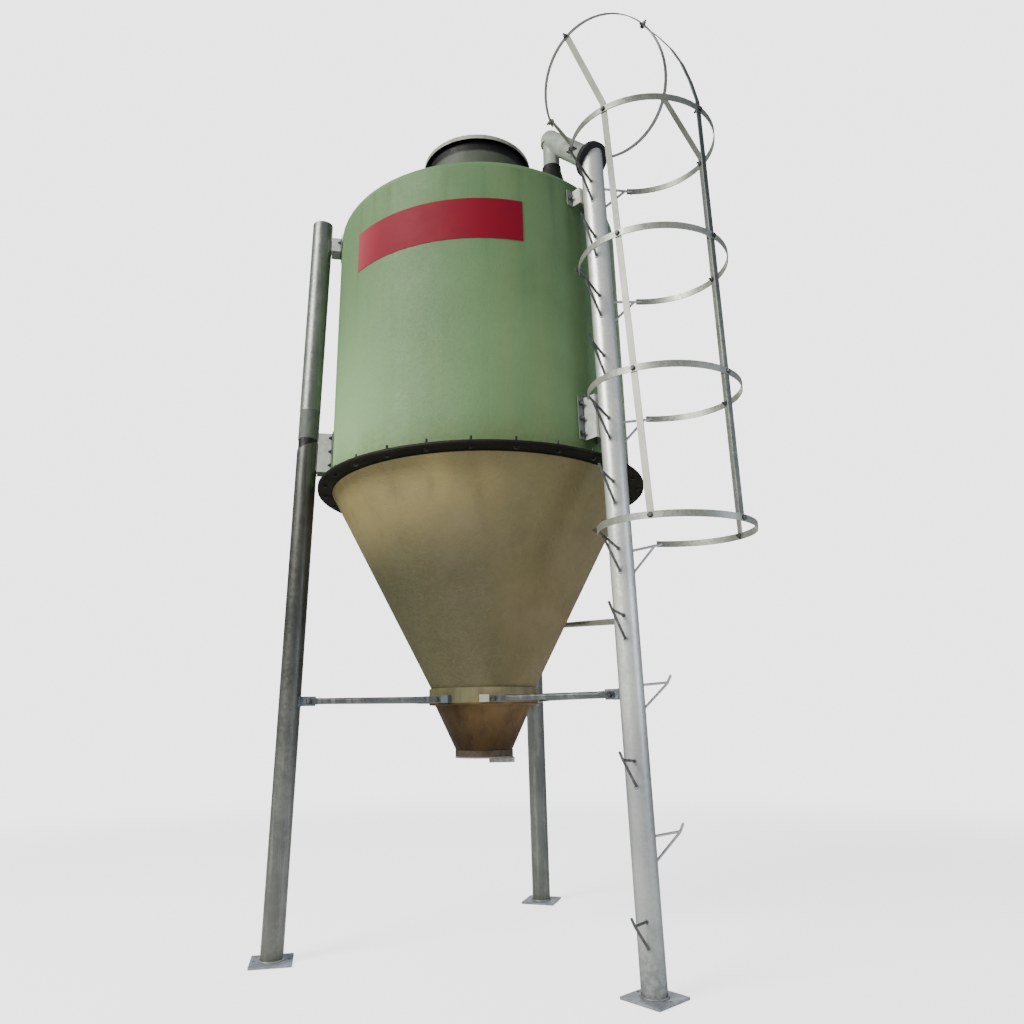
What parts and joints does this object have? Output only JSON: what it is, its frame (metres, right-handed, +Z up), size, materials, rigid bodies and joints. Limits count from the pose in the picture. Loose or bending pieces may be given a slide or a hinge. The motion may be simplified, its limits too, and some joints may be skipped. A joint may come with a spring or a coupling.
{
  "type": "polyester silo",
  "caption": "Green glass-fibre silo with a conical foot on leaning pipe legs, with step irons, a ladder cage and a filling pipe on one leg.",
  "frame": {"origin": "on the ground at the middle of the whole silo's box", "axes": "+Z up, +Y away from the side that the picture shows, +X to the right in the picture"},
  "size_m": [2.4113, 2.5236, 4.6401],
  "materials": {
    "green_grp": "sage green glass-fibre polyester, gel coat dulled by weather",
    "olive_grp": "olive brown translucent glass-fibre polyester",
    "tan_grp_band": "bare glass-fibre band, tan",
    "brown_grp": "dark brown translucent glass-fibre polyester",
    "neck_grey_grp": "dark grey glass-fibre polyester",
    "lid_grey_grp": "light grey, dulled",
    "outlet_grey": "grey paint, dusty",
    "galvanised_steel": "hot-dip galvanised, dull spangle",
    "bracket_steel": "hot-dip galvanised plate",
    "cage_steel": "hot-dip galvanised flat bar",
    "step_steel": "hot-dip galvanised round bar",
    "sleeve_grey": "dark grey, weathered",
    "pipe_grey": "light grey plastic pipe",
    "rubber_black": "black rubber"
  },
  "bodies": {
    "root": {"body_cylinder": "green_grp", "cage_bar_far": "cage_steel", "cage_bar_left_end": "cage_steel", "cage_bar_near": "cage_steel", "cage_bar_outer": "cage_steel", "cage_hoop_1": "cage_steel", "cage_hoop_2": "cage_steel", "cage_hoop_3": "cage_steel", "cage_hoop_4": "cage_steel", "cage_top_hoop": "cage_steel", "cone_collar": "tan_grp_band", "head_flange": "rubber_black", "head_pipe": "pipe_grey", "ladder_leg": "galvanised_steel", "ladder_leg_foot_plate": "galvanised_steel", "ladder_leg_lower_bracket": "bracket_steel", "ladder_leg_upper_bracket": "bracket_steel", "ladder_strut_a": "galvanised_steel", "ladder_strut_b": "galvanised_steel", "ladder_strut_ears": "galvanised_steel", "left_leg_foot_plate": "galvanised_steel", "left_leg_lower": "galvanised_steel", "left_leg_lower_bracket": "bracket_steel", "left_leg_spigot": "sleeve_grey", "left_leg_upper": "galvanised_steel", "left_leg_upper_bracket": "bracket_steel", "left_strut_a": "galvanised_steel", "left_strut_b": "galvanised_steel", "left_strut_ears": "galvanised_steel", "lid": "lid_grey_grp", "lid_neck": "neck_grey_grp", "lower_cone": "brown_grp", "outlet_ring": "outlet_grey", "outlet_slide": "outlet_grey", "rear_leg": "galvanised_steel", "rear_leg_foot_plate": "galvanised_steel", "rear_leg_lower_bracket": "bracket_steel", "rear_leg_upper_bracket": "bracket_steel", "rear_strut_a": "galvanised_steel", "rear_strut_b": "galvanised_steel", "rear_strut_ears": "galvanised_steel", "roof": "green_grp", "side_tie": "galvanised_steel", "step_01_left": "step_steel", "step_02_right": "step_steel", "step_03_left": "step_steel", "step_04_right": "step_steel", "step_05_left": "step_steel", "step_06_left": "step_steel", "step_06_right": "step_steel", "step_07_left": "step_steel", "step_08_left": "step_steel", "step_08_right": "step_steel", "step_09_left": "step_steel", "step_10_left": "step_steel", "step_10_right": "step_steel", "step_11_left": "step_steel", "step_12_left": "step_steel", "step_12_right": "step_steel", "upper_cone": "olive_grp"}
  },
  "joints": []
}
